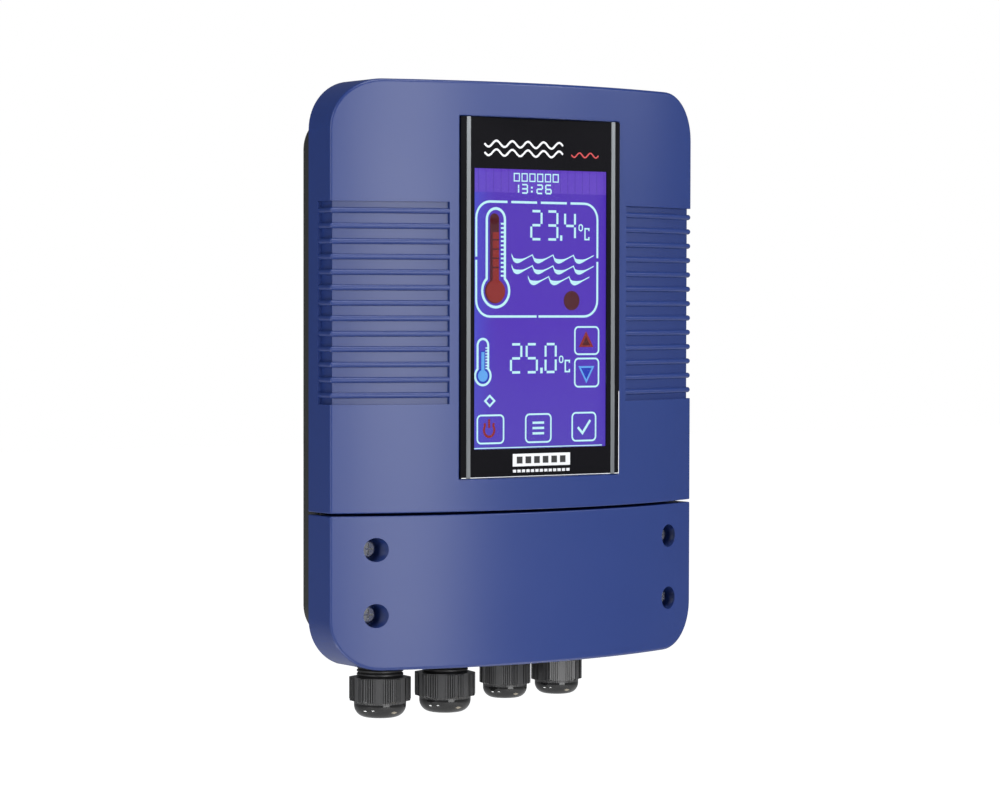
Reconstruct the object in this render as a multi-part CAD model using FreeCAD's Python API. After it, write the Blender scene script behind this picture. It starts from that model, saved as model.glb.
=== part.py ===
import FreeCAD, Part
import math
import os

# Wall-mounted pool heating controller. Millimetres. The wall is the plane Y = 0, the front faces -Y, up is +Z,
# and the origin is the centre of the four wall-fixing holes.

os.makedirs("parts", exist_ok=True)
V = FreeCAD.Vector

# Overall case
case_width = 191.0
case_height = 250.0
case_depth = 50.5
face_radius = 220.0          # the front is a slice of an upright cylinder
case_corner = 21.0
case_edge_round = 1.4
side_wall = 2.5
front_wall = 3.0
shell_rim_y = -11.0          # rear rim of the two blue shells
seam_z = -58.9               # middle of the slot between the front housing and the terminal cover
seam_gap = 1.2
seam_wall = 2.5
seam_wall_rear_y = -16.0

# Back tray
tray_inset = 4.0
tray_top = 111.0
tray_bottom = -114.0
tray_corner = 15.0
tray_floor = 3.0
tray_wall = 2.5
tray_rim_y = -14.0
gland_wall = 3.0
wall_hole_x, wall_hole_z, wall_hole_r = 60.0, 100.0, 2.5

# Display
fascia_width, fascia_height, fascia_thick = 83.5, 154.0, 2.2
fascia_mid_z = 32.8
fascia_front_y = -case_depth + 3.4
window_width, window_height = 69.8, 120.0
window_mid_z = 28.0
strip_width, strip_inset = 2.0, 2.7
mouth_round = 0.45            # softened edge of the recess that takes the fascia

# Grip ribs on both flanks
rib_inner_x = 46.5
rib_zone_top, rib_zone_bottom = 73.4, -12.4
rib_depth, rib_round = 1.6, 1.2
rib_crest_below = 0.05       # the crests stay just under the face
rib_count, rib_pitch, rib_first_z = 13, 6.5, 69.5
rib_rear_y = -18.8

# Terminal cover screws
cover_screw_x = 77.4
cover_screw_heights = (-73.75, -101.7)
screw_seat_y = -26.6

# Cable glands: X of the axis, thread radius, width across flats, seal bore radius, nut top and nut end heights
gland_y = -20.5
glands = (
    {"turn": 26.0, "x": -65.5, "thread": 10.0, "flats": 23.0, "bore": 5.5, "nut_top": -129.5, "nut_end": -146.8},
    {"turn": 20.0, "x": -32.2, "thread": 10.0, "flats": 23.0, "bore": 5.5, "nut_top": -129.5, "nut_end": -146.8},
    {"turn": 10.0, "x": -0.6, "thread": 8.0, "flats": 20.0, "bore": 4.0, "nut_top": -127.5, "nut_end": -142.7},
    {"turn": 40.0, "x": 27.2, "thread": 8.0, "flats": 20.0, "bore": 4.0, "nut_top": -127.5, "nut_end": -142.7},
)
nut_clearance = 0.05
thread_pitch, thread_depth = 1.5, 0.75

# Boards
board_thick = 1.6
main_board_front_y = -9.0
display_board_rear_y = -33.0


def box(x0, x1, y0, y1, z0, z1):
    return Part.makeBox(x1 - x0, y1 - y0, z1 - z0, V(x0, y0, z0))


def rod(x, y, z, radius, length, along="Y"):
    ways = {"X": V(1, 0, 0), "Y": V(0, 1, 0), "Z": V(0, 0, 1)}
    return Part.makeCylinder(radius, length, V(x, y, z), ways[along])


def rounded_plate(half_x, z0, z1, radius, y0, y1):
    plate = box(-half_x, half_x, y0, y1, z0, z1)
    posts = [e for e in plate.Edges if abs(e.tangentAt(e.FirstParameter).y) > 0.9]
    return plate.makeFillet(radius, posts)


def face_y(x, inward=0.0):
    r = face_radius - inward
    return -case_depth + face_radius - math.sqrt(r * r - x * x)


def case_block(inward, front_inward, rear_y, rounded=False):
    # The case outline pulled in by a wall thickness, trimmed to the curved front.
    half = case_width / 2 - inward
    tall = case_height / 2 - inward
    block = rounded_plate(half, -tall, tall, case_corner - inward, -case_depth - 5, rear_y)
    drum = Part.makeCylinder(face_radius - front_inward, 400, V(0, -case_depth + face_radius, -200))
    block = block.common(drum)
    if rounded:
        rim = [e for e in block.Edges if e.BoundBox.YMax < rear_y - 5 and e.Length > 3]
        block = block.makeFillet(case_edge_round, rim)
    return block


def joined(first, others):
    return first.fuse(list(others)).removeSplitter()


def save(name, shape):
    solids = shape.Solids
    whole = solids[0] if len(solids) == 1 else Part.makeCompound(solids)
    if not whole.isValid():
        print("not valid:", name)
    whole.exportStep("parts/%s.step" % name)
    print("%-26s solids %d  volume %.0f" % (name, len(solids), whole.Volume))


def cross_screw(x, y, z, head_r, head_h, shank_r, shank_len):
    # Pan-head screw along Y with its head towards -Y; y is the seat under the head.
    head = rod(x, y - head_h, z, head_r, head_h)
    top = [e for e in head.Edges if e.BoundBox.YMax < y - head_h + 0.01 and e.Length > head_r]
    head = head.makeFillet(head_h * 0.45, top)
    screw = head.fuse(rod(x, y, z, shank_r, shank_len))
    arm, slot = head_r * 0.62, head_r * 0.11
    for cut in (box(x - arm, x + arm, y - head_h - 1, y - head_h * 0.35, z - slot, z + slot),
                box(x - slot, x + slot, y - head_h - 1, y - head_h * 0.35, z - arm, z + arm)):
        screw = screw.cut(cut)
    return screw


# ---------------------------------------------------------------- shells
outer = case_block(0, 0, shell_rim_y, rounded=True)
hollow = case_block(side_wall, front_wall, shell_rim_y + 1)
lens = case_block(rib_depth, rib_depth, 0)
seam_top = seam_z + seam_gap / 2
seam_low = seam_z - seam_gap / 2

upper_outer = outer.common(box(-200, 200, -80, 0, seam_top, 200))
upper_hollow = hollow.common(box(-200, 200, -80, 0, seam_top + seam_wall, 200))
upper_behind = hollow.common(box(-200, 200, seam_wall_rear_y, 0, seam_top - 1, seam_top + seam_wall + 1))
lower_outer = outer.common(box(-200, 200, -80, 0, -200, seam_low))
lower_hollow = hollow.common(box(-200, 200, -80, 0, -200, seam_low - seam_wall))
lower_behind = hollow.common(box(-200, 200, seam_wall_rear_y, 0, seam_low - seam_wall - 1, seam_low + 1))


def soft_seam(shell, z):
    edges = [e for e in shell.Edges if abs(e.BoundBox.ZMin - z) < 0.01 and abs(e.BoundBox.ZMax - z) < 0.01
             and (e.BoundBox.YMax < shell_rim_y - 10 or abs(abs(e.CenterOfMass.x) - case_width / 2) < 0.1)]
    try:
        return shell.makeFillet(0.5, edges)
    except Exception:
        print("seam edges left square at", z)
        return shell


upper_outer = soft_seam(upper_outer, seam_top)
lower_outer = soft_seam(lower_outer, seam_low)

# Front housing: shell, display pad, grip recesses with ribs, and four long bosses for the rear screws.
front_screws = [(sx * 83.0, z) for sx in (-1, 1) for z in (96.0, -46.0)]
front = upper_outer.cut(upper_hollow).cut(upper_behind)
pad = box(-46, 46, -case_depth, -42.4, -49, 114.5).common(case_block(1, 1, -20))
front = front.fuse(pad)
front = front.cut(box(-fascia_width / 2 - 0.25, fascia_width / 2 + 0.25, -60, fascia_front_y + fascia_thick + 0.4,
                      fascia_mid_z - fascia_height / 2 - 0.25, fascia_mid_z + fascia_height / 2 + 0.25))
front = front.cut(box(-39.2, 39.2, -60, -30, window_mid_z - 65, window_mid_z + 65))
mouth = [e for e in front.Edges if e.BoundBox.YMax < -46 and e.BoundBox.ZMax < fascia_mid_z + fascia_height / 2 + 1
         and e.BoundBox.ZMin > fascia_mid_z - fascia_height / 2 - 1
         and abs(e.BoundBox.XMin) < fascia_width / 2 + 0.5 and abs(e.BoundBox.XMax) < fascia_width / 2 + 0.5
         and e.BoundBox.YMin < face_y(e.CenterOfMass.x) + 0.4]
print("recess mouth edges", len(mouth))
front = front.makeFillet(mouth_round, mouth)
for side in (-1, 1):
    near, far = sorted((side * rib_inner_x, side * 110))
    zone = box(near, far, -80, rib_rear_y, rib_zone_bottom, rib_zone_top)
    front = front.cut(zone.cut(lens))
    crest_x = side * (case_width / 2 - rib_round - rib_crest_below)
    centre_y = -case_depth + face_radius
    arc_radius = face_radius - rib_round - rib_crest_below
    start = math.degrees(math.asin(rib_inner_x / arc_radius))
    end = math.degrees(math.asin(abs(crest_x) / arc_radius))
    corner_y = centre_y - arc_radius * math.cos(math.radians(end))
    for i in range(rib_count):
        z = rib_first_z - i * rib_pitch
        ring = Part.makeCircle(rib_round, V(0, centre_y - arc_radius, z), V(1, 0, 0))
        disc = Part.Face(Part.Wire(ring))
        disc.rotate(V(0, centre_y, z), V(0, 0, 1), side * (start - 0.3))
        rib = [disc.revolve(V(0, centre_y, z), V(0, 0, 1), side * (end - start + 0.3)),
               Part.makeSphere(rib_round, V(crest_x, corner_y, z)),
               rod(crest_x, corner_y, z, rib_round, rib_rear_y + 0.4 - corner_y)]
        front = front.fuse(rib)
bosses = []
for x, z in front_screws:
    bosses.append(rod(x, face_y(x, 1.5) + 1.0, z, 4.0, -6.3 - face_y(x, 1.5) - 1.0))
front = front.fuse([b.common(case_block(0.5, 0.5, 0)) for b in bosses])
for x, z in front_screws:
    front = front.cut(rod(x, -17, z, 1.5, 12))
front = front.removeSplitter()
save("front_housing", front)

# Terminal cover: shell with a slot under the glands and four screw columns.
cover = lower_outer.cut(lower_hollow).cut(lower_behind)
cover_screws = [(sx * cover_screw_x, z) for sx in (-1, 1) for z in cover_screw_heights]
columns = [rod(x, -45, z, 6.0, 22.8).common(case_block(0.5, 0.5, -20)) for x, z in cover_screws]
cover = cover.fuse(columns)
for x, z in cover_screws:
    cover = cover.cut(rod(x, -50, z, 5.1, 50 + screw_seat_y)).cut(rod(x, -50, z, 2.3, 40))
gland_slot = box(-81, 46, -36, 0, -130, -118).common(case_block(-10, 4.0, 0))
cover = cover.cut(gland_slot)
cover = cover.removeSplitter()
save("terminal_cover", cover)

# Back tray: floor, low rim, deeper gland wall, screw bosses, board posts, and two stiffening bars.
tray_half = case_width / 2 - tray_inset
tray = rounded_plate(tray_half, tray_bottom, tray_top, tray_corner, tray_rim_y, 0)
tray = tray.cut(rounded_plate(tray_half - tray_wall, tray_bottom + tray_wall, tray_top - tray_wall,
                              tray_corner - tray_wall, tray_rim_y - 1, -tray_floor))
flange = rounded_plate(case_width / 2 - side_wall - 0.3, -case_height / 2 + side_wall + 0.3,
                       case_height / 2 - side_wall - 0.3, case_corner - side_wall - 0.3, tray_rim_y, shell_rim_y - 0.5)
flange = flange.cut(rounded_plate(tray_half - 1, tray_bottom + 1, tray_top - 1, tray_corner - 1, -30, 0))
tray = tray.fuse(flange.cut(box(-81.5, 46.5, -40, 0, -130, tray_bottom)))
board_posts = [(sx * 66.0, z) for sx in (-1, 1) for z in (78.0, -48.0)] + [(0.0, 78.0), (0.0, -48.0)]
ledge = box(-80.5, 46, -35.5, -1, tray_bottom, tray_bottom + gland_wall).common(case_block(-10, 4.6, 0))
extra = [ledge.common(rounded_plate(tray_half, tray_bottom, tray_top, tray_corner, -40, 0))]
extra += [box(43.5, 46, -30, -1, tray_bottom + 1, -96)]
extra += [rod(x, -21.8, z, 5.5, 20) for x, z in cover_screws]
extra += [rod(x, main_board_front_y + board_thick, z, 3.2, 6) for x, z in board_posts]
extra += [rod(x, -6, z, 5.2, 5) for x, z in front_screws]
tray = tray.fuse(extra)
for x, z in cover_screws:
    tray = tray.cut(rod(x, -22.8, z, 2.9, 9)).cut(rod(x, -24, z, 2.1, 20))
for x, z in board_posts:
    tray = tray.cut(rod(x, -10, z, 1.2, 8.5))
for x, z in front_screws:
    tray = tray.cut(rod(x, -10, z, 1.7, 12)).cut(rod(x, -2.6, z, 3.6, 3))
for sx in (-1, 1):
    for sz in (-1, 1):
        tray = tray.cut(rod(sx * wall_hole_x, -10, sz * wall_hole_z, wall_hole_r, 12))
for g in glands:
    tray = tray.cut(rod(g["x"], gland_y, tray_bottom - 2, g["thread"] + 0.1, 8, "Z"))
tray = tray.removeSplitter()
save("back_tray", tray)

seal_half = case_width / 2 - side_wall - 0.8
seal_tall = case_height / 2 - side_wall - 0.8
rim_seal = rounded_plate(seal_half, -seal_tall, seal_tall, 17.0, tray_rim_y - 1.4, tray_rim_y)
rim_seal = rim_seal.cut(rounded_plate(seal_half - 2.2, 2.2 - seal_tall, seal_tall - 2.2, 14.8, tray_rim_y - 3, 0))
save("rim_seal", rim_seal.cut(box(-82, 47, -40, 0, -130, -112)))

save("housing_screws", Part.makeCompound([
    rod(x, -2.0, z, 3.1, 2.0).fuse(rod(x, -15.0, z, 1.5, 13.5)).cut(box(x - 2, x + 2, -0.9, 1, z - 0.4, z + 0.4))
    for x, z in front_screws]))
save("cover_inserts", Part.makeCompound([
    rod(x, -21.8, z, 2.9, 8.0).cut(rod(x, -24, z, 2.03, 11)) for x, z in cover_screws]))

for i, (x, z) in enumerate(cover_screws, 1):
    washer = rod(x, screw_seat_y - 0.8, z, 4.2, 0.8).cut(rod(x, screw_seat_y - 2, z, 2.03, 4))
    save("cover_washer_%d" % i, washer)
    save("cover_screw_%d" % i, cross_screw(x, screw_seat_y - 0.8, z, 3.9, 2.5, 2.0, 15.5))

# ---------------------------------------------------------------- display stack
half_w, half_h = fascia_width / 2, fascia_height / 2
fascia_back = fascia_front_y + fascia_thick
fascia = rounded_plate(half_w, fascia_mid_z - half_h, fascia_mid_z + half_h, 0.8, fascia_front_y, fascia_back)
win_w, win_h = window_width / 2, window_height / 2
fascia = fascia.cut(box(-win_w, win_w, -60, -30, window_mid_z - win_h, window_mid_z + win_h))
fascia = fascia.cut(box(-win_w - 1, win_w + 1, fascia_front_y + 0.8, -30,
                        window_mid_z - win_h - 1, window_mid_z + win_h + 1))
for side, label in ((-1, "left"), (1, "right")):
    outer_x = side * (half_w - strip_inset)
    x0, x1 = sorted((outer_x, outer_x - side * strip_width))
    strip = box(x0, x1, fascia_front_y - 0.25, fascia_front_y + 0.3, fascia_mid_z - half_h, fascia_mid_z + half_h)
    fascia = fascia.cut(strip)
    save("trim_strip_" + label, strip)
save("display_fascia", fascia)
save("display_window", box(-win_w - 0.9, win_w + 0.9, fascia_front_y + 0.85, fascia_back,
                           window_mid_z - win_h - 0.9, window_mid_z + win_h + 0.9))
gasket = box(-half_w, half_w, fascia_back, fascia_back + 0.4, fascia_mid_z - half_h, fascia_mid_z + half_h)
save("fascia_gasket", gasket.cut(box(-39.4, 39.4, -60, 0, window_mid_z - 65, window_mid_z + 65)))
save("touch_layer", box(-37.4, 37.4, fascia_back + 0.05, fascia_back + 0.45, window_mid_z - 63, window_mid_z + 63))
save("lcd_panel", box(-37.7, 37.7, -44.15, -41.4, window_mid_z - 63.5, window_mid_z + 63.5))
save("backlight", box(-37.7, 37.7, -41.3, -38.4, window_mid_z - 63.5, window_mid_z + 63.5))
frame = box(-38.8, 38.8, -43.6, -37.4, window_mid_z - 64.6, window_mid_z + 64.6)
frame = frame.cut(box(-37.8, 37.8, -60, -38.2, window_mid_z - 63.6, window_mid_z + 63.6))
save("lcd_frame", frame)

stand_spots = [(sx * 34.0, z) for sx in (-1, 1) for z in (104.0, -43.0)]
display_board_front = display_board_rear_y - board_thick
board = box(-42, 42, display_board_front, display_board_rear_y, -47, 110)
for x, z in stand_spots:
    board = board.cut(rod(x, -40, z, 1.7, 12))
save("display_board", board)
hex_post = []
for x, z in stand_spots:
    ring = [V(x + 3.0 * math.cos(math.radians(60 * k)), -42.4, z + 3.0 * math.sin(math.radians(60 * k)))
            for k in range(7)]
    post = Part.Face(Part.makePolygon(ring)).extrude(V(0, 42.4 + display_board_front, 0))
    hex_post.append(post.cut(rod(x, -43, z, 1.5, 12)))
save("display_standoffs", Part.makeCompound(hex_post))
save("display_screws", Part.makeCompound([
    rod(x, display_board_rear_y, z, 2.8, 1.8).fuse(rod(x, -38.5, z, 1.5, 6))
    .cut(box(x - 2, x + 2, display_board_rear_y + 1, -20, z - 0.3, z + 0.3)) for x, z in stand_spots]))

rear = display_board_rear_y
save("display_chip", box(-8, 8, rear, rear + 1.6, 30, 46))
save("buzzer", rod(24, rear, 86, 6, 7.5).cut(rod(24, rear + 5, 86, 1, 5)))
holder = rod(-22, rear, 72, 11.5, 4.5).cut(rod(-22, rear + 1, 72, 10.2, 5))
save("battery_holder", holder)
save("clock_battery", rod(-22, rear + 1.05, 72, 10.0, 3.2))

# ---------------------------------------------------------------- main board and its parts
board_rear = main_board_front_y + board_thick
board = box(-72, 72, main_board_front_y, board_rear, -60, 86).fuse(
    box(-69, 69, main_board_front_y, board_rear, -94, -60))
for x, z in board_posts:
    board = board.cut(rod(x, -12, z, 1.7, 8))
save("main_board", board.removeSplitter())
save("board_screws", Part.makeCompound([
    cross_screw(x, main_board_front_y, z, 2.9, 1.9, 1.2, 6.0) for x, z in board_posts]))

top = main_board_front_y
core = box(20, 62, top - 19, top - 1, 30, 66).fuse(box(27, 55, top - 3, top, 34, 62))
winding = box(28, 54, top - 21.5, top - 19, 34, 62)
save("transformer_core", core)
save("transformer_winding", winding.makeFillet(1.0, [e for e in winding.Edges if e.BoundBox.YMax < top - 21]))
relays = []
for x in (-58.0, -38.0, 18.0):
    relay = box(x, x + 15.5, top - 16, top, -54, -34)
    relays.append(relay.makeChamfer(0.5, [e for e in relay.Edges if e.BoundBox.YMin < top - 15.9]))
save("relays", Part.makeCompound(relays))
caps = []
for x, z in ((-50.0, 60.0), (-36.0, 60.0), (-50.0, 44.0)):
    can = rod(x, top - 17, z, 5.0, 17)
    can = can.makeFillet(0.8, [e for e in can.Edges if e.BoundBox.YMax < top - 16.9 and e.Length > 20])
    can = can.cut(box(x - 3.5, x + 3.5, top - 18, top - 16.6, z - 0.25, z + 0.25))
    caps.append(can.cut(box(x - 0.25, x + 0.25, top - 18, top - 16.6, z - 3.5, z + 3.5)))
save("capacitors", Part.makeCompound(caps))
chip = box(-9, 9, top - 1.8, top, 6, 24)
save("control_chip", chip.cut(rod(-6.5, top - 2.2, 21.5, 0.8, 0.6)))
clip = box(46, 68, top - 4, top, -30, -22).cut(box(45, 69, top - 3, top - 0.8, -28.5, -23.5))
save("fuse_holder", clip.cut(box(50, 64, top - 9, top - 0.8, -31, -21)))
save("fuse", rod(47, top - 1.9, -26, 1.0, 20, "X"))

terminals = ((-44.5, 4, 7.5), (-4.0, 5, 7.5), (36.0, 5, 7.5))
blocks, clamps, screws = [], [], []
for middle, ways, pitch in terminals:
    half = ways * pitch / 2
    block = box(middle - half, middle + half, top - 16, top, -93, -81)
    block = block.cut(box(middle - half - 1, middle + half + 1, top - 20, top - 13.5, -83.5, -70))
    for k in range(ways):
        x = middle - half + pitch * (k + 0.5)
        block = block.cut(box(x - 2.8, x + 2.8, top - 10, top - 3, -94, -84))
        block = block.cut(rod(x, top - 17, -88, 2.4, 8))
        clamp = box(x - 2.6, x + 2.6, top - 9.8, top - 3.2, -91.5, -84.2)
        clamps.append(clamp.cut(box(x - 1.8, x + 1.8, top - 8.2, top - 4.4, -95, -80)))
        stud = rod(x, top - 13.5, -88, 2.2, 3.6)
        screws.append(stud.cut(box(x - 3, x + 3, top - 14, top - 12.5, -88.3, -87.7)))
    blocks.append(block)
save("terminal_blocks", Part.makeCompound(blocks))
save("terminal_clamps", Part.makeCompound(clamps))
save("terminal_screws", Part.makeCompound(screws))

# Ribbon between the boards, bent as a loose S, with a socket at each end.
save("display_socket", box(-13, 13, rear, rear + 5, -22, -16))
save("board_socket", box(-13, 13, top - 5, top, -22, -16))
path = [V(0, rear + 5, -19), V(0, rear + 8.5, -19), V(0, rear + 11, -24), V(0, -17, -24), V(0, -14.5, -19),
        V(0, top - 5, -19)]
ribbon_line = Part.BSplineCurve()
ribbon_line.interpolate(path, InitialTangent=V(0, 1, 0), FinalTangent=V(0, 1, 0))
spine = ribbon_line.toShape()
other = spine.copy()
other.translate(V(0, 0, 0.9))
sheet = Part.makeRuledSurface(spine, other)
ribbon = sheet.extrude(V(22, 0, 0))
ribbon.translate(V(-11, 0, -0.45))
save("ribbon_cable", ribbon)

# ---------------------------------------------------------------- cable glands


def hexagon(x, z, flats, height, turn=8):
    corner = flats / math.sqrt(3)
    angles = [math.radians(60 * k + turn) for k in range(7)]
    ring = [V(x + corner * math.cos(a), gland_y + corner * math.sin(a), z) for a in angles]
    return Part.Face(Part.makePolygon(ring)).extrude(V(0, 0, height))


def chamfered_hexagon(x, z, flats, height, bevel, turn=8, top_bevel=0.3):
    prism = hexagon(x, z, flats, height, turn)
    corner = flats / math.sqrt(3)
    low = Part.makeCone(corner + 0.3 - bevel * 1.7, corner + 0.3, bevel, V(x, gland_y, z))
    mid = rod(x, gland_y, z + bevel, corner + 0.3, height - bevel - top_bevel, "Z")
    high = Part.makeCone(corner + 0.3, corner + 0.3 - top_bevel * 1.7, top_bevel,
                         V(x, gland_y, z + height - top_bevel))
    return prism.common(low.fuse([mid, high]).removeSplitter())


def thread_groove(x, z, radius):
    # V-shaped ring cut for one turn of the gland thread.
    r0, r1, half = radius - thread_depth, radius + 0.3, thread_depth * 0.62 + 0.2
    ring = Part.makePolygon([V(x + r0, gland_y, z), V(x + r1, gland_y, z + half), V(x + r1, gland_y, z - half),
                             V(x + r0, gland_y, z)])
    return Part.Face(ring).revolve(V(x, gland_y, 0), V(0, 0, 1), 360)


def ring_heights(low, high):
    count = int((high - low) / thread_pitch) + 1
    return [low + k * thread_pitch for k in range(count)]


gland_washers, gland_locknuts = [], []
for i, g in enumerate(glands, 1):
    x, t, flats, bore = g["x"], g["thread"], g["flats"], g["bore"]
    inner = bore + 2.0
    washer = rod(x, gland_y, tray_bottom - 1.5, t + 2.3, 1.5, "Z").cut(rod(x, gland_y, -130, t + 0.05, 40, "Z"))
    gland_washers.append(washer)
    body_end = g["nut_top"] - 6.5
    body = chamfered_hexagon(x, tray_bottom - 7.5, flats, 6.0, 0.8)
    body = body.fuse([rod(x, gland_y, tray_bottom - 2, t - 0.05, 8.0, "Z"),
                      rod(x, gland_y, body_end, t, tray_bottom - 7 - body_end, "Z")])
    body = body.cut(rod(x, gland_y, -200, inner, 120, "Z")).removeSplitter()
    body = body.cut([thread_groove(x, z, t) for z in ring_heights(body_end + 1.0, tray_bottom - 8.5)])
    save("gland_body_%d" % i, body)
    lock = chamfered_hexagon(x, tray_bottom + gland_wall, flats + 1.5, 3.0, 0.5)
    gland_locknuts.append(lock.cut(rod(x, gland_y, -130, t, 60, "Z")))
    seal = rod(x, gland_y, body_end + 0.5, inner - 0.2, 7, "Z")
    seal = seal.fuse(rod(x, gland_y, g["nut_end"] + 4.5, inner + 0.6, body_end + 0.5 - g["nut_end"] - 4.5 - 0.8, "Z"))
    seal = seal.fuse(rod(x, gland_y, body_end - 1, inner - 0.2, 3, "Z"))
    save("gland_seal_%d" % i, seal.cut(rod(x, gland_y, -200, bore, 120, "Z")).removeSplitter())
    total = g["nut_top"] - g["nut_end"]
    hex_len = total * 0.65
    hex_low = g["nut_top"] - hex_len
    nut = chamfered_hexagon(x, hex_low, flats, hex_len, 2.0, g["turn"])
    dome = rod(x, gland_y, g["nut_end"], flats / 2 - 0.3, total - 1, "Z")
    end_edge = [e for e in dome.Edges if abs(e.BoundBox.ZMax - g["nut_end"]) < 0.01]
    nut = nut.fuse(dome.makeFillet(flats * 0.23, end_edge))
    fins = []
    for side in range(6):
        for across in (0.165, 0.24, 0.315, 0.39):
            for sign in (-1, 1):
                shift = sign * across * flats / math.sqrt(3)
                fin = box(x + shift - 0.24, x + shift + 0.24, gland_y - flats / 2 - 0.4, gland_y - flats / 2 + 1,
                          hex_low + 1.0, g["nut_top"] - 0.4)
                fin.rotate(V(x, gland_y, 0), V(0, 0, 1), 60 * side + g["turn"])
                fins.append(fin)
    nut = nut.fuse(fins)
    nut = nut.cut(rod(x, gland_y, g["nut_end"] + 4.3, t + nut_clearance, total, "Z"))
    nut = nut.cut(rod(x, gland_y, g["nut_end"] - 1, bore + 1.0, 8, "Z"))
    save("gland_nut_%d" % i, nut.removeSplitter())
save("gland_washers", Part.makeCompound(gland_washers))
save("gland_locknuts", Part.makeCompound(gland_locknuts))
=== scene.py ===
import math
import bmesh
import bpy
from mathutils import Matrix, Vector


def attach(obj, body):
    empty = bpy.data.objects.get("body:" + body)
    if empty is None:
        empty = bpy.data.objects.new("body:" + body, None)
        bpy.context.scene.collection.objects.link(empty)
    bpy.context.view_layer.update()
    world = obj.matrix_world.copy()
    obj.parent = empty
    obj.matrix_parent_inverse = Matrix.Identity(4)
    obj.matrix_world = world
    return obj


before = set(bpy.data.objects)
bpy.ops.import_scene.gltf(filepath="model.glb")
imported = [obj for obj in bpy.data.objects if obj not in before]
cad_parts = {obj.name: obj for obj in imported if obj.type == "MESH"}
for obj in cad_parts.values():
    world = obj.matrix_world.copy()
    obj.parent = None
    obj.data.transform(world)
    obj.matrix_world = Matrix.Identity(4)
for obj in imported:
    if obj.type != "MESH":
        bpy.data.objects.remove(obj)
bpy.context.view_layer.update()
mm = 0.001        # metres in a millimetre
print("frame loaded:", len(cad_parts), "nodes")


# Shader maths written as expressions: a Wire holds one output socket.
class Wire:
    def __init__(self, tree, socket):
        self.tree, self.socket = tree, socket

    def mathNode(self, operation, first, second=None):
        node = self.tree.nodes.new("ShaderNodeMath")
        node.operation = operation
        for slot, value in zip(node.inputs, (first, second)):
            if isinstance(value, Wire):
                self.tree.links.new(value.socket, slot)
            elif value is not None:
                slot.default_value = value
        return Wire(self.tree, node.outputs[0])

    def __add__(self, other): return self.mathNode("ADD", self, other)
    def __radd__(self, other): return self.mathNode("ADD", other, self)
    def __sub__(self, other): return self.mathNode("SUBTRACT", self, other)
    def __rsub__(self, other): return self.mathNode("SUBTRACT", other, self)
    def __mul__(self, other): return self.mathNode("MULTIPLY", self, other)
    def __rmul__(self, other): return self.mathNode("MULTIPLY", other, self)
    def __truediv__(self, other): return self.mathNode("DIVIDE", self, other)
    def __gt__(self, other): return self.mathNode("GREATER_THAN", self, other)
    def __lt__(self, other): return self.mathNode("LESS_THAN", self, other)
    def size(self): return self.mathNode("ABSOLUTE", self)
    def part(self): return self.mathNode("FRACT", self)


def newFinish(name):
    material = bpy.data.materials.new(name)
    material.use_nodes = True
    return Paint(material)


class Paint:
    def __init__(self, material):
        self.material, self.tree = material, material.node_tree
        self.tree.nodes.clear()
        self.shader = self.tree.nodes.new("ShaderNodeBsdfPrincipled")
        self.output = self.tree.nodes.new("ShaderNodeOutputMaterial")
        self.tree.links.new(self.shader.outputs[0], self.output.inputs[0])
        self.place = Wire(self.tree, self.tree.nodes.new("ShaderNodeTexCoord").outputs["Object"])

    def node(self, kind, settings=None, out=0, **sockets):
        made = self.tree.nodes.new("ShaderNode" + kind)
        for key, value in (settings or {}).items():
            setattr(made, key, value)
        for key, value in sockets.items():
            slot = made.inputs[int(key[1:])] if key[0] == "i" and key[1:].isdigit() else made.inputs[key]
            self.feed(slot, value)
        return Wire(self.tree, made.outputs[out])

    def feed(self, slot, value):
        if isinstance(value, Wire):
            self.tree.links.new(value.socket, slot)
        elif isinstance(value, tuple) and len(value) == 3 and slot.type == "RGBA":
            slot.default_value = (*value, 1)
        else:
            slot.default_value = value

    def set(self, **values):
        for key, value in values.items():
            self.feed(self.shader.inputs[key.replace("_", " ")], value)
        return self

    def axes(self):
        split = self.tree.nodes.new("ShaderNodeSeparateXYZ")
        self.tree.links.new(self.place.socket, split.inputs[0])
        return [Wire(self.tree, s) for s in split.outputs]

    def stretched(self, x, y, z):
        return self.node("Mapping", Vector=self.place, Scale=(x, y, z))

    def noise(self, scale, detail=2.0, rough=0.5, at=None):
        return self.node("TexNoise", Vector=at or self.place, Scale=scale, Detail=detail, Roughness=rough)

    def blend(self, amount, first, second):
        return self.node("Mix", {"data_type": "RGBA"}, out=2, i0=amount, i6=first, i7=second)

    def bump(self, height, strength=0.2, depth=0.0002):
        return self.node("Bump", Height=height, Strength=strength, Distance=depth)


def mouldedPlastic(name, dark, light, rough, grain=900.0, strength=0.12, **extra):
    # Spark-eroded mould texture: fine grain, faint flow marks, slightly uneven sheen.
    paint = newFinish(name)
    broad = paint.noise(18.0, 3.0)
    fine = paint.noise(grain, 3.0, 0.6)
    specks = paint.noise(2600.0, 1.0)
    paint.set(Base_Color=paint.blend(broad * 0.8 + fine * 0.2, dark, light),
              Roughness=rough - 0.05 + broad * 0.06 + fine * 0.05,
              Normal=paint.bump(fine + specks * 0.5, strength, 0.00008), **extra)
    return paint.material


def turnedMetal(name, dark, light, rough, scale=2400.0):
    paint = newFinish(name)
    lines = paint.noise(scale, 2.0, 0.6, paint.stretched(1, 0.05, 1))
    broad = paint.noise(240.0, 3.0)
    paint.set(Base_Color=paint.blend(lines * 0.6 + broad * 0.4, dark, light), Metallic=1.0,
              Roughness=rough + lines * 0.12 + broad * 0.08, Normal=paint.bump(lines, 0.15, 0.00003))
    return paint.material


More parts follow.
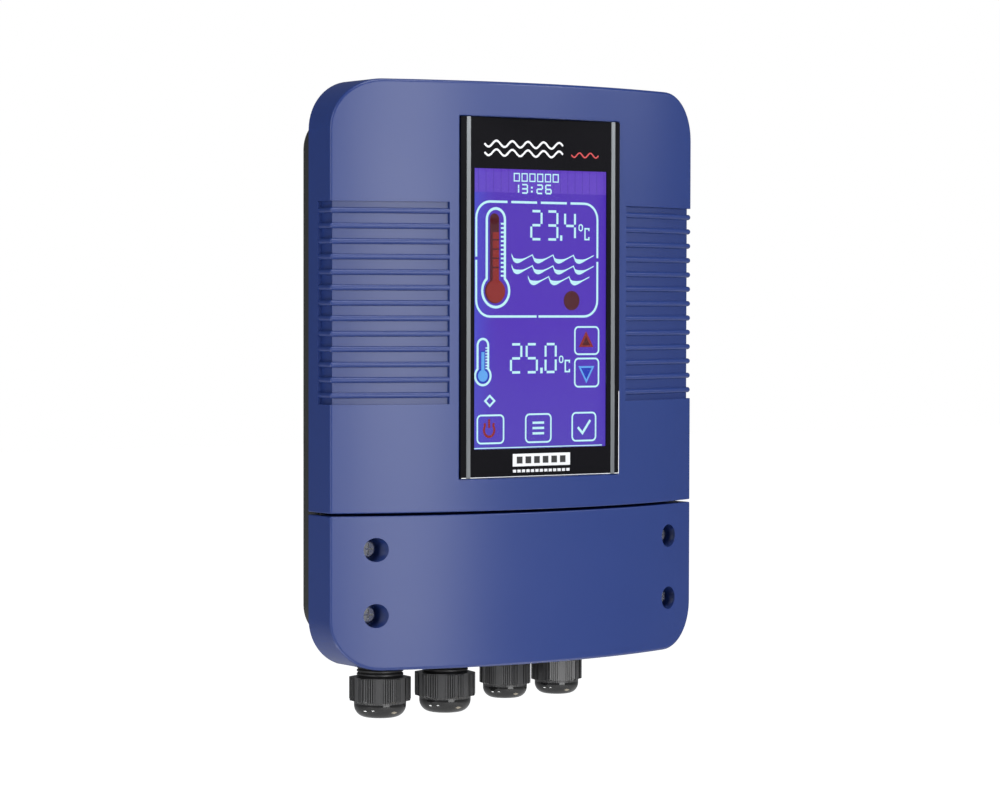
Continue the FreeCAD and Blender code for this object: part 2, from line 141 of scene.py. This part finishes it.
def shellBlue():
    look = {"dark": (0.010, 0.027, 0.138), "light": (0.012, 0.032, 0.154), "rough": 0.36}
    return mouldedPlastic("shellBlue", look["dark"], look["light"], look["rough"], 1400.0, 0.10)


def fasciaBlack():
    paint = newFinish("fasciaBlack")
    smear = paint.noise(26.0, 4.0, 0.6)
    dust = paint.noise(3000.0, 1.0) > 0.79
    paint.set(Base_Color=paint.blend(dust * 0.25, (0.005, 0.0048, 0.0062), (0.03, 0.03, 0.033)),
              Roughness=0.12 + smear * 0.08, Normal=paint.bump(smear, 0.02, 0.0002), Specular_IOR_Level=0.20)
    return paint.material


def clearWindow(name="clearWindow", cover=0.015):
    paint = newFinish(name)
    smear = paint.noise(30.0, 4.0, 0.6)
    paint.set(Base_Color=paint.blend(smear, (0.10, 0.10, 0.14), (0.14, 0.14, 0.18)), Roughness=0.10 + smear * 0.10,
              Alpha=cover + smear * 0.01, Specular_IOR_Level=0.12)
    return paint.material


def screenLit():
    look = {"left": -34.9, "top": 88.0, "wide": 69.8, "tall": 120.0, "cell": 0.62, "column": 3.9, "rim": 0.007,
            "bandEnd": 0.083}
    paint = newFinish("screenLit")
    x, y, z = paint.axes()
    across = (x * 1000 - look["left"]) / look["wide"]
    down = (look["top"] - z * 1000) / look["tall"]
    edge = paint.node("MapRange", {"clamp": True}, Value=across, **{"From Max": 0.22, "To Min": 1.0, "To Max": 0.0})
    base = paint.blend(edge * edge * 0.8, (0.094, 0.034, 0.550), (0.068, 0.118, 0.790))
    # Painted highlight: a brighter blue line along the left rim of the screen.
    base = paint.blend(across < look["rim"], base, (0.105, 0.125, 0.80))
    low = paint.node("MapRange", {"clamp": True}, Value=down, **{"From Min": 0.55, "From Max": 1.0})
    base = paint.blend(low * 0.5, base, (0.110, 0.088, 0.560))
    band = (down < look["bandEnd"]) * (paint.noise(60.0, 2.0) * 0.35 + 0.55)
    lines = ((x * 1000 / look["cell"]).part() < 0.16) * 0.12 + ((x * 1000 / look["column"]).part() < 0.12) * 0.30
    rows = ((z * 1000 / look["cell"]).part() < 0.16) * 0.12
    base = paint.blend(band, base, (0.172, 0.078, 0.680))
    base = paint.blend((down < look["bandEnd"]) * (lines + rows), base, (0.04, 0.02, 0.30))
    paint.set(Base_Color=(0.003, 0.002, 0.008), Roughness=0.35 + paint.noise(40.0) * 0.1, Emission_Color=base,
              Emission_Strength=0.86, Specular_IOR_Level=0.1)
    return paint.material


def glowing(name, colour, other, strength=1.0):
    paint = newFinish(name)
    grain = paint.noise(900.0, 2.0)
    paint.set(Base_Color=(0.002, 0.002, 0.003), Roughness=0.5 + grain * 0.1,
              Emission_Color=paint.blend(grain, colour, other), Emission_Strength=strength, Specular_IOR_Level=0.1)
    return paint.material


def brushedTrim():
    paint = newFinish("brushedTrim")
    lines = paint.noise(1800.0, 3.0, 0.6, paint.stretched(1, 1, 0.02))
    broad = paint.noise(14.0, 2.0)
    paint.set(Base_Color=paint.blend(lines * 0.5 + broad * 0.5, (0.16, 0.172, 0.185), (0.25, 0.262, 0.275)),
              Metallic=0.75, Roughness=0.30 + lines * 0.15, Normal=paint.bump(lines, 0.1, 0.00002))
    return paint.material


def circuitBoard():
    paint = newFinish("circuitBoard")
    x, y, z = paint.axes()
    wander = paint.noise(55.0, 1.0)
    tracksX = ((x * 420 + wander * 2.2).part() < 0.30)
    tracksZ = ((z * 420 + wander * 2.2).part() < 0.30)
    which = paint.noise(24.0, 0.0) > 0.5
    tracks = which * tracksX + (1 - which) * tracksZ
    green = paint.blend(paint.noise(30.0), (0.010, 0.085, 0.030), (0.014, 0.105, 0.040))
    paint.set(Base_Color=paint.blend(tracks * 0.7, green, (0.022, 0.190, 0.070)), Roughness=0.30 + tracks * 0.12,
              Normal=paint.bump(tracks, 0.25, 0.00004))
    return paint.material


def stackedSteel():
    paint = newFinish("stackedSteel")
    x, y, z = paint.axes()
    sheets = (z * 2000).part() < 0.5
    paint.set(Base_Color=paint.blend(sheets * 0.7 + paint.noise(90.0) * 0.3, (0.030, 0.030, 0.033),
                                     (0.10, 0.10, 0.105)),
              Metallic=0.3, Roughness=0.45 + sheets * 0.15, Normal=paint.bump(sheets, 0.4, 0.0001))
    return paint.material


# Base-colour levels for the nut: painted highlight on the grip ribs and middle panel, painted shade in the grooves.
nutLook = {"axisY": -20.5, "ribAt": (0.165, 0.24), "panel": 0.135, "grooveShade": 0.006, "ribHighlight": 0.075,
           "panelHighlight": 0.050}


def nutNylon(name, centre, turn, flats, hexLow):
    # Painted highlight on the grip ribs and on the plain middle panel, painted shade in the grooves between the ribs;
    # the dome below the hexagon is polished.
    paint = newFinish(name)
    x, y, z = paint.axes()
    grain = paint.noise(1500.0, 3.0)
    streak = paint.noise(900.0, 2.0, 0.5, paint.stretched(1, 1, 0.08))
    angle = (y * 1000 - nutLook["axisY"]).mathNode("ARCTAN2", y * 1000 - nutLook["axisY"], x * 1000 - centre)
    sixth = math.radians(60)
    sector = ((angle + math.radians(90 - turn + 30 + 360)) / sixth).part() * sixth - sixth / 2
    across = (sector.mathNode("TANGENT", sector) * (flats / 2)).size()
    side = flats / math.sqrt(3)
    first, pitch = nutLook["ribAt"][0] * side, (nutLook["ribAt"][1] - nutLook["ribAt"][0]) * side
    onRib = (((across - first) / pitch + 0.25).part() < 0.5) * (across > nutLook["panel"] * side)
    onPanel = across < nutLook["panel"] * side
    ribbed = z > hexLow * mm
    # Painted highlight on ribs and panel, painted shade in the grooves; the dome keeps its own dark colour.
    shade = (onRib * (nutLook["ribHighlight"] - nutLook["grooveShade"]) + onPanel * (nutLook["panelHighlight"] - nutLook["grooveShade"])
             + nutLook["grooveShade"]) * ribbed + (1 - ribbed) * 0.010
    level = shade * (streak * 0.5 + 0.75)
    paint.set(Base_Color=paint.node("CombineColor", Red=level, Green=level, Blue=level * 1.02),
              Roughness=0.05 + ribbed * 0.25 + grain * 0.05, Normal=paint.bump(grain * ribbed, 0.08, 0.00005))
    return paint.material


def softRubber(name, shade=0.02):
    paint = newFinish(name)
    grain = paint.noise(700.0, 4.0, 0.7)
    paint.set(Base_Color=paint.blend(grain, (shade, shade, shade), (shade * 1.7, shade * 1.7, shade * 1.7)),
              Roughness=0.75 + grain * 0.12, Normal=paint.bump(grain, 0.2, 0.0001))
    return paint.material


def ribbonGrey():
    paint = newFinish("ribbonGrey")
    x, y, z = paint.axes()
    wires = ((x * 1000 / 1.27).part() - 0.5).size() * 2
    stripe = x < -0.0097
    grey = paint.blend(wires, (0.30, 0.30, 0.31), (0.16, 0.16, 0.17))
    paint.set(Base_Color=paint.blend(stripe, grey, (0.35, 0.02, 0.02)), Roughness=0.45 + wires * 0.1,
              Normal=paint.bump(1 - wires, 0.5, 0.0003))
    return paint.material


finishes = {
    "blue": shellBlue(),
    "tray": mouldedPlastic("trayBlack", (0.012, 0.013, 0.013), (0.022, 0.023, 0.023), 0.52, 1100.0, 0.2),
    "fascia": fasciaBlack(),
    "window": clearWindow(),
    "film": clearWindow("touchFilm", 0.005),
    "screen": screenLit(),
    "trim": brushedTrim(),
    "board": circuitBoard(),
    "steel": turnedMetal("screwSteel", (0.46, 0.465, 0.48), (0.78, 0.785, 0.80), 0.12),
    "brass": turnedMetal("turnedBrass", (0.50, 0.33, 0.10), (0.70, 0.50, 0.20), 0.25),
    "tin": turnedMetal("tinPlate", (0.35, 0.35, 0.34), (0.55, 0.55, 0.53), 0.35, 900.0),
    "chip": mouldedPlastic("chipEpoxy", (0.012, 0.012, 0.013), (0.022, 0.022, 0.024), 0.55, 2200.0, 0.2),
    "relay": mouldedPlastic("relayCase", (0.020, 0.060, 0.20), (0.028, 0.075, 0.24), 0.30, 1800.0, 0.06),
    "sleeve": mouldedPlastic("capacitorSleeve", (0.012, 0.012, 0.030), (0.020, 0.020, 0.045), 0.25, 2000.0, 0.04),
    "core": stackedSteel(),
    "tape": mouldedPlastic("windingTape", (0.45, 0.30, 0.03), (0.60, 0.42, 0.06), 0.35, 500.0, 0.15),
    "terminal": mouldedPlastic("terminalGreen", (0.015, 0.10, 0.035), (0.022, 0.13, 0.05), 0.42, 1400.0, 0.12),
    "socket": mouldedPlastic("socketNylon", (0.50, 0.47, 0.38), (0.62, 0.58, 0.48), 0.45, 1400.0, 0.1),
    "diffuser": mouldedPlastic("diffuserWhite", (0.72, 0.74, 0.78), (0.80, 0.82, 0.86), 0.4, 800.0, 0.05),
    "nutA": nutNylon("nutNylonA", -65.5, 26.0, 23.0, -140.745),
    "nutB": nutNylon("nutNylonB", -32.2, 20.0, 23.0, -140.745),
    "nutC": nutNylon("nutNylonC", -0.6, 10.0, 20.0, -137.38),
    "nutD": nutNylon("nutNylonD", 27.2, 40.0, 20.0, -137.38),
    "nylon": mouldedPlastic("glandNylon", (0.012, 0.012, 0.0125), (0.024, 0.024, 0.025), 0.42, 1500.0, 0.15),
    "rubber": softRubber("sealRubber"),
    "foam": softRubber("foamTape", 0.03),
    "ribbon": ribbonGrey(),
    "line": glowing("markPale", (0.52, 0.90, 0.98), (0.60, 0.95, 1.0)),
    "red": glowing("markRed", (0.24, 0.018, 0.012), (0.28, 0.024, 0.016)),
    "wine": glowing("markWine", (0.070, 0.006, 0.008), (0.080, 0.008, 0.010)),
    "sky": glowing("markSky", (0.11, 0.38, 0.86), (0.14, 0.42, 0.92)),
    "navy": glowing("markNavy", (0.010, 0.035, 0.46), (0.016, 0.045, 0.52)),
    "print": mouldedPlastic("printWhiteAndHighlight", (0.60, 0.61, 0.63), (0.70, 0.71, 0.73), 0.45, 900.0, 0.05),
    "printRed": mouldedPlastic("printRed", (0.42, 0.030, 0.032), (0.50, 0.040, 0.042), 0.45, 900.0, 0.05),
    "printBlack": mouldedPlastic("printBlack", (0.008, 0.008, 0.009), (0.013, 0.013, 0.014), 0.45, 900.0, 0.05),
}
nodeFinish = {
    "front_housing": "blue", "terminal_cover": "blue", "back_tray": "tray", "rim_seal": "foam",
    "housing_screws": "steel", "cover_inserts": "brass", "trim_strip_left": "trim", "trim_strip_right": "trim",
    "display_fascia": "fascia", "display_window": "window", "fascia_gasket": "foam", "touch_layer": "film",
    "lcd_panel": "screen", "backlight": "diffuser", "lcd_frame": "tin", "display_board": "board",
    "display_standoffs": "brass", "display_screws": "steel", "display_chip": "chip", "buzzer": "chip",
    "battery_holder": "chip", "clock_battery": "steel", "main_board": "board", "board_screws": "steel",
    "transformer_core": "core", "transformer_winding": "tape", "relays": "relay", "capacitors": "sleeve",
    "control_chip": "chip", "fuse_holder": "tin", "fuse": "window", "terminal_blocks": "terminal",
    "terminal_clamps": "tin", "terminal_screws": "steel", "display_socket": "socket", "board_socket": "socket",
    "ribbon_cable": "ribbon", "gland_washers": "rubber", "gland_locknuts": "nylon",
}
for number in range(1, 5):
    nodeFinish.update({"cover_washer_%d" % number: "rubber", "cover_screw_%d" % number: "steel",
                       "gland_body_%d" % number: "nylon", "gland_seal_%d" % number: "rubber",
                       "gland_nut_%d" % number: "nut" + "ABCD"[number - 1]})
for name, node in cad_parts.items():
    node.data.materials.clear()
    node.data.materials.append(finishes[nodeFinish[name]])
print("finishes on", len(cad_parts), "nodes")


def addPiece(name, mesh, finish, body):
    data = bpy.data.meshes.new(name)
    mesh.to_mesh(data)
    mesh.free()
    piece = bpy.data.objects.new(name, data)
    bpy.context.scene.collection.objects.link(piece)
    data.materials.append(finishes[finish])
    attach(piece, body)
    return piece


screen = {"left": -34.9, "top": 88.0, "front": -44.20, "thick": 0.035}


def onScreen(u, v, lift=0.0):
    return Vector(((screen["left"] + u) * mm, (screen["front"] - lift) * mm, (screen["top"] - v) * mm))


def strokeAlong(mesh, points, width, closed=False, lift=0.0):
    # A cross-bar is pushed along the line by extrusion, one step for each point, with mitred bends.
    line = [Vector(p) for p in points] + ([Vector(points[0])] if closed else [])
    rail, bar = [], None
    for i, here in enumerate(line):
        before = line[i - 1] if i else (line[-2] if closed else here)
        after = line[i + 1] if i < len(line) - 1 else (line[1] if closed else here)
        into, away = (here - before).normalized(), (after - here).normalized()
        run = (into + away).normalized()
        half = width / 2 / max(0.5, abs(run.dot(into if into.length else away)))
        ends = [onScreen(here.x - side * run.y * half, here.y + side * run.x * half, lift) for side in (-1, 1)]
        if bar is None:
            rail = [mesh.verts.new(end) for end in ends]
        else:
            grown = bmesh.ops.extrude_edge_only(mesh, edges=[bar])["geom"]
            fresh = [g for g in grown if isinstance(g, bmesh.types.BMVert)]
            rail = [next(f for f in fresh if mesh.edges.get((old, f))) for old in rail]
            for vert, end in zip(rail, ends):
                vert.co = end
        bar = mesh.edges.get(rail) or mesh.edges.new(rail)


def roundedPath(u0, v0, u1, v1, radius, steps=7):
    path = []
    for cu, cv, start in ((u1 - radius, v0 + radius, -90), (u1 - radius, v1 - radius, 0),
                          (u0 + radius, v1 - radius, 90), (u0 + radius, v0 + radius, 180)):
        for k in range(steps + 1):
            a = math.radians(start + 90 * k / steps)
            path.append((cu + radius * math.cos(a), cv + radius * math.sin(a)))
    return path


def slab(mesh, u0, v0, u1, v1, lift=0.0, skew=0.0):
    corners = [(u0 + skew, v0), (u1 + skew, v0), (u1, v1), (u0, v1)]
    mesh.faces.new([mesh.verts.new(onScreen(u, v, lift)) for u, v in corners])


def disc(mesh, u, v, radius, lift=0.0):
    where = Matrix.Translation(onScreen(u, v, lift)) @ Matrix.Rotation(math.pi / 2, 4, "X")
    bmesh.ops.create_circle(mesh, cap_ends=True, segments=40, radius=radius * mm, matrix=where)


def finishMarks(name, mesh, finish):
    bmesh.ops.remove_doubles(mesh, verts=mesh.verts, dist=0.000001)
    bmesh.ops.recalc_face_normals(mesh, faces=mesh.faces)
    toFront = [f for f in mesh.faces if f.normal.y > 0]
    bmesh.ops.reverse_faces(mesh, faces=toFront)
    made = bmesh.ops.extrude_face_region(mesh, geom=mesh.faces[:], use_keep_orig=True)
    moved = [g for g in made["geom"] if isinstance(g, bmesh.types.BMVert)]
    bmesh.ops.translate(mesh, verts=moved, vec=(0, -screen["thick"] * mm, 0))
    bmesh.ops.recalc_face_normals(mesh, faces=mesh.faces)
    return addPiece(name, mesh, finish, "housing")


segments = {"0": "abcdef", "1": "bc", "2": "abged", "3": "abgcd", "4": "fgbc", "5": "afgcd", "6": "afgedc"}


def segmentDigit(mesh, sign, u0, v0, width, height, stroke=1.05, apart=0.60):
    gap = stroke * apart
    mid, u1, v1 = v0 + height / 2, u0 + width, v0 + height
    bars = {"a": ((u0 + gap, v0), (u1 - gap, v0)), "g": ((u0 + gap, mid), (u1 - gap, mid)),
            "d": ((u0 + gap, v1), (u1 - gap, v1)), "f": ((u0, v0 + gap), (u0, mid - gap)),
            "b": ((u1, v0 + gap), (u1, mid - gap)), "e": ((u0, mid + gap), (u0, v1 - gap)),
            "c": ((u1, mid + gap), (u1, v1 - gap))}
    for key in segments[sign]:
        strokeAlong(mesh, bars[key], stroke)


def waveRow(mesh, u0, v0, crests, pitch=10.9, drop=3.0):
    # Breaking-wave line: each crest falls steeply, swells at the trough and rises slowly.
    for k in range(crests):
        start = u0 + pitch * k
        top, bottom = [], []
        for i in range(13):
            t = i / 12
            curve = drop * (math.sin(math.pi * t ** 0.55) if t < 1 else 0)
            body = 0.50 + 1.45 * math.exp(-((t - 0.26) / 0.26) ** 2)
            top.append((start + pitch * t + 0.5, v0 + curve * 0.9 - body * 0.5))
            bottom.append((start + pitch * t + 0.5, v0 + curve * 0.9 + body * 0.5))
        sides = [[mesh.verts.new(onScreen(u, v)) for u, v in line] for line in (top, bottom)]
        edges = [mesh.edges.new(pair) for side in sides for pair in zip(side, side[1:])]
        bmesh.ops.bridge_loops(mesh, edges=edges)


def thermometer(marks, spec):
    # Outline of a bulb and stem as one closed band, with tick marks inside the stem.
    cu, cv, bulb, stem, top = spec["u"], spec["v"], spec["bulb"], spec["stem"], spec["top"]
    meet = math.asin(stem / bulb)
    path = []
    for k in range(25):
        a = -math.pi / 2 + meet + (2 * math.pi - 2 * meet) * k / 24
        path.append((cu + bulb * math.cos(a), cv + bulb * math.sin(a)))
    path += [(cu - stem, top + stem)]
    path += [(cu - stem * math.cos(a), top + stem - stem * math.sin(a))
             for a in (math.pi * k / 12 for k in range(1, 12))]
    path += [(cu + stem, top + stem)]
    strokeAlong(marks, path, spec["line"], closed=True)
    for k in range(spec["ticks"]):
        v = spec["tickTop"] + k * spec["tickPitch"]
        inner = cu + stem - spec["line"] / 2
        slab(marks, inner - spec["tickLong"], v, inner + 0.05, v + spec["tickThick"])


pale = bmesh.new()
frameBox = {"u0": 2.8, "v0": 14.0, "u1": 66.7, "v1": 63.2, "radius": 7.0}
outline = roundedPath(frameBox["u0"], frameBox["v0"], frameBox["u1"], frameBox["v1"], frameBox["radius"])
rightArc, lowRight, lowLeft, topLeft = (outline[i * 8:(i + 1) * 8] for i in range(4))
strokeAlong(pale, [(52.2, 14.0)] + rightArc + [(66.7, 37.7)], 1.0)
strokeAlong(pale, [(66.7, 39.3)] + lowRight + [(35.3, 63.2)], 1.0)
strokeAlong(pale, [(34.3, 63.2)] + lowLeft + [(2.8, 39.0)], 1.0)
strokeAlong(pale, [(2.8, 37.6)] + topLeft + [(18.9, 14.0)], 1.0)
for u0, u1 in ((20.9, 34.4), (36.4, 50.2)):
    strokeAlong(pale, [(u0, 14.0), (u1, 14.0)], 1.0)

bigTube = {"u": 12.9, "v": 52.2, "bulb": 7.0, "stem": 4.7, "top": 16.9, "line": 1.15, "ticks": 13, "tickTop": 23.0,
           "tickPitch": 1.86, "tickLong": 1.5, "tickThick": 0.8}
smallTube = {"u": 6.3, "v": 88.6, "bulb": 4.0, "stem": 2.75, "top": 72.8, "line": 1.0, "ticks": 8, "tickTop": 76.4,
             "tickPitch": 1.25, "tickLong": 0.9, "tickThick": 0.55}
thermometer(pale, bigTube)
thermometer(pale, smallTube)
for sign, u in (("2", 31.4), ("3", 39.8)):
    segmentDigit(pale, sign, u, 17.7, 5.4, 12.1)
segmentDigit(pale, "4", 49.3, 17.9, 5.3, 11.8)
slab(pale, 46.65, 28.0, 47.85, 30.3)
strokeAlong(pale, [(62.1, 25.9), (62.1, 24.9), (60.0, 24.9), (60.0, 29.6), (62.1, 29.6), (62.1, 28.5)], 0.68)
strokeAlong(pale, roundedPath(56.8, 23.2, 58.6, 25.8, 0.85), 0.55, closed=True)
for sign, u in (("2", 20.9), ("5", 29.1), ("0", 39.1)):
    segmentDigit(pale, sign, u, 75.2, 5.4, 12.1)
slab(pale, 36.3, 85.4, 37.6, 87.8)
strokeAlong(pale, [(51.8, 83.4), (51.8, 82.4), (49.6, 82.4), (49.6, 87.2), (51.8, 87.2), (51.8, 86.1)], 0.7)
strokeAlong(pale, roundedPath(46.5, 80.5, 48.3, 83.2, 0.85), 0.55, closed=True)
waveRow(pale, 20.6, 36.6, 4)
waveRow(pale, 20.6, 41.3, 4)
waveRow(pale, 29.2, 46.0, 3)
buttons = {"up": (54.7, 67.8, 67.5, 79.7), "down": (54.7, 81.6, 67.5, 93.9), "power": (3.5, 105.6, 17.1, 117.6),
           "menu": (28.7, 105.5, 42.0, 117.6), "accept": (53.4, 105.3, 66.0, 117.5)}
for u0, v0, u1, v1 in buttons.values():
    strokeAlong(pale, roundedPath(u0, v0, u1, v1, 1.9), 0.75, closed=True)
for k in range(3):                                         # menu bars
    slab(pale, 32.3, 108.7 + 2.3 * k, 38.4, 109.7 + 2.3 * k)
strokeAlong(pale, [(56.4, 111.6), (58.9, 114.2), (63.1, 108.6)], 1.1)        # tick
strokeAlong(pale, [(9.9, 97.2), (12.3, 99.4), (9.9, 101.6), (7.5, 99.4)], 0.9, closed=True)      # mode diamond
for k in range(6):                                         # six blank character cells, then a clock
    strokeAlong(pale, [(22.4 + 4.1 * k, 1.7), (25.1 + 4.1 * k, 1.7), (25.1 + 4.1 * k, 4.9), (22.4 + 4.1 * k, 4.9)],
                0.5, closed=True)
for sign, u in (("1", 21.9), ("3", 26.5), ("2", 34.4), ("6", 39.0)):
    segmentDigit(pale, sign, u, 6.4, 2.8, 3.6, 0.66, 0.15)
for v in (7.2, 8.9):
    slab(pale, 31.2, v, 32.1, v + 0.8)
slab(pale, 0.3, 119.45, 69.5, 119.85)                      # painted highlight: a glowing pale line where the lower rim of the panel catches light
finishMarks("screenLines", pale, "line")

red = bmesh.new()
slab(red, 11.3, 27.0, 14.5, 49.0, 0.04)
disc(red, 12.9, 52.4, 4.9, 0.04)
finishMarks("tubeRed", red, "red")
wine = bmesh.new()
slab(wine, 9.8, 21.2, 14.6, 48.2, 0.0)
disc(wine, 12.2, 21.4, 2.4, 0.0)
disc(wine, 12.5, 52.4, 5.25, 0.0)
for v in (30.0, 34.0, 37.9, 41.9):
    slab(wine, 11.1, v, 14.7, v + 0.65, 0.09)
disc(wine, 52.9, 56.3, 4.25, 0.0)
finishMarks("tubeDark", wine, "wine")
heat = bmesh.new()
heat.faces.new([heat.verts.new(onScreen(u, v)) for u, v in ((60.7, 69.6), (64.7, 76.6), (56.8, 76.6))])
strokeAlong(heat, [(12.0, 108.9)] + [(9.6 + 2.7 * math.cos(a), 111.9 + 2.9 * math.sin(a)) for a in
            [math.radians(-55 + 290 * k / 16) for k in range(1, 16)]] + [(7.2, 108.9)], 1.1)
slab(heat, 9.05, 107.2, 10.15, 111.0)
finishMarks("markHeat", heat, "red")
core = bmesh.new()
core.faces.new([core.verts.new(onScreen(u, v, 0.05)) for u, v in ((60.7, 72.0), (62.9, 75.8), (58.6, 75.8))])
finishMarks("markHeatCore", core, "wine")
sky = bmesh.new()
slab(sky, 5.5, 78.4, 7.1, 86.5, 0.04)
disc(sky, 6.3, 88.6, 2.5, 0.04)
strokeAlong(sky, [(57.3, 85.3), (64.5, 85.3), (60.9, 91.6)], 0.8, closed=True, lift=0.04)
finishMarks("tubeBlue", sky, "sky")
# Printing on the fascia: two ripples and a short red one above the window, a plate and dashes below it, and a painted
# highlight line along the lower edge and up the right side.
fasciaLayout = {"lift": 2.93, "rippleV": (-10.6, -6.9), "from": 5.0, "to": 46.0, "pitch": 8.2, "rise": 1.35, "width": 0.85}


def ripple(mesh, u0, u1, v, pitch, rise, width):
    steps = int((u1 - u0) / pitch * 10)
    points = [(u0 + (u1 - u0) * k / steps, v + rise * math.sin(2 * math.pi * (u1 - u0) / pitch * k / steps))
              for k in range(steps + 1)]
    strokeAlong(mesh, points, width, lift=fasciaLayout["lift"])


printAndLipHighlight = bmesh.new()
for v in fasciaLayout["rippleV"]:
    ripple(printAndLipHighlight, fasciaLayout["from"], fasciaLayout["to"], v, fasciaLayout["pitch"], fasciaLayout["rise"], fasciaLayout["width"])
slab(printAndLipHighlight, 19.9, 122.3, 50.2, 127.7, fasciaLayout["lift"])
for k in range(13):
    slab(printAndLipHighlight, 20.0 + 2.35 * k, 129.1, 21.7 + 2.35 * k, 130.3, fasciaLayout["lift"])
# Painted highlight: a pale line along the lower lip of the fascia and up its right side, where the lip catches light.
strokeAlong(printAndLipHighlight, [(-6.6, 132.05), (76.45, 132.05), (76.45, 96.0)], 0.32, lift=fasciaLayout["lift"])
finishMarks("fasciaPrintAndHighlight", printAndLipHighlight, "print")
accent = bmesh.new()
ripple(accent, 50.5, 65.0, -6.9, 5.8, 1.0, 0.6)
finishMarks("fasciaPrintRed", accent, "printRed")
inset = bmesh.new()
for k in range(6):
    slab(inset, 22.0 + 4.55 * k, 123.5, 25.0 + 4.55 * k, 126.5, fasciaLayout["lift"] + 0.04)
finishMarks("fasciaPrintDark", inset, "printBlack")

navy = bmesh.new()
disc(navy, 6.3, 88.6, 3.2, 0.0)
slab(navy, 5.1, 78.0, 7.5, 86.5, 0.0)
navy.faces.new([navy.verts.new(onScreen(u, v)) for u, v in ((57.3, 85.3), (64.5, 85.3), (60.9, 91.6))])
finishMarks("tubeNavy", navy, "navy")
print("screen graphics done")


stage = {"floorZ": -0.75, "floorSize": 14.0}
floorMesh = bmesh.new()
bmesh.ops.create_grid(floorMesh, x_segments=1, y_segments=1, size=stage["floorSize"],
                      matrix=Matrix.Translation((0, 0, stage["floorZ"])))
floorData = bpy.data.meshes.new("floor")
floorMesh.to_mesh(floorData)
floorMesh.free()
floor = bpy.data.objects.new("floor", floorData)
bpy.context.scene.collection.objects.link(floor)
paleFloor = newFinish("paleFloor")
seenFloor = Wire(paleFloor.tree, paleFloor.tree.nodes.new("ShaderNodeLightPath").outputs["Is Camera Ray"])
paleFloor.set(Base_Color=paleFloor.blend(paleFloor.noise(3.0), (0.80, 0.80, 0.80), (0.84, 0.84, 0.84)), Roughness=0.9,
              Emission_Color=paleFloor.blend(seenFloor, (0.10, 0.10, 0.10), (0.95, 0.95, 0.95)), Emission_Strength=1.0)
floorData.materials.append(paleFloor.material)

world = bpy.data.worlds.new("studio")
bpy.context.scene.world = world
world.use_nodes = True
tree = world.node_tree
background = tree.nodes["Background"]
seen = tree.nodes.new("ShaderNodeLightPath")
pick = tree.nodes.new("ShaderNodeMix")
pick.data_type = "RGBA"
tree.links.new(seen.outputs["Is Camera Ray"], pick.inputs[0])
pick.inputs[6].default_value = (0.13, 0.135, 0.145, 1)
pick.inputs[7].default_value = (1.0, 1.0, 1.0, 1)
tree.links.new(pick.outputs[2], background.inputs["Color"])


def softBox(name, at, aim, size, power, tint=(1, 1, 1)):
    light = bpy.data.lights.new(name, "AREA")
    light.shape, light.size, light.size_y = "RECTANGLE", size[0], size[1]
    light.energy, light.color = power, tint
    lamp = bpy.data.objects.new(name, light)
    lamp.location = at
    lamp.rotation_euler = (Vector(aim) - Vector(at)).to_track_quat("-Z", "Y").to_euler()
    lamp.visible_camera = False
    bpy.context.scene.collection.objects.link(lamp)
    return lamp


softBox("keyBox", (-0.22, -2.6, 0.14), (0, 0, 0.0), (1.35, 1.25), 33)
softBox("upperBox", (1.15, -1.75, 0.74), (0, -0.03, 0.12), (1.0, 0.42), 18)
softBox("rightBox", (1.85, -0.95, 0.52), (0.03, -0.03, 0.12), (0.6, 0.5), 3.2)
softBox("sideBox", (-2.7, -0.7, 0.5), (0, 0, 0), (1.0, 1.6), 27)
softBox("glintBox", (-0.64, -0.24, -0.69), (-0.03, -0.02, -0.14), (0.15, 0.10), 1.1)
softBox("glintBoxRear", (-0.64, 0.26, -0.67), (-0.03, -0.02, -0.14), (0.15, 0.10), 1.1)
softBox("glintBoxWarm", (0.36, -0.22, -0.70), (0, -0.02, -0.14), (0.30, 0.16), 0.8, (1.0, 0.88, 0.68))
softBox("topBox", (-0.2, -1.0, 2.3), (0, 0, 0), (2.0, 1.2), 46)

cameraSet = {"at": (-0.79042, -1.17406, 0.03000), "turn": (88.280, -0.110, -34.297), "lens": 114.64}
camera = bpy.data.cameras.new("mainView")
camera.lens, camera.sensor_width, camera.clip_start = cameraSet["lens"], 36.0, 0.01
eye = bpy.data.objects.new("mainView", camera)
eye.location = cameraSet["at"]
eye.rotation_euler = [math.radians(a) for a in cameraSet["turn"]]
bpy.context.scene.collection.objects.link(eye)
bpy.context.scene.camera = eye
bpy.context.scene.view_settings.view_transform = "Standard"
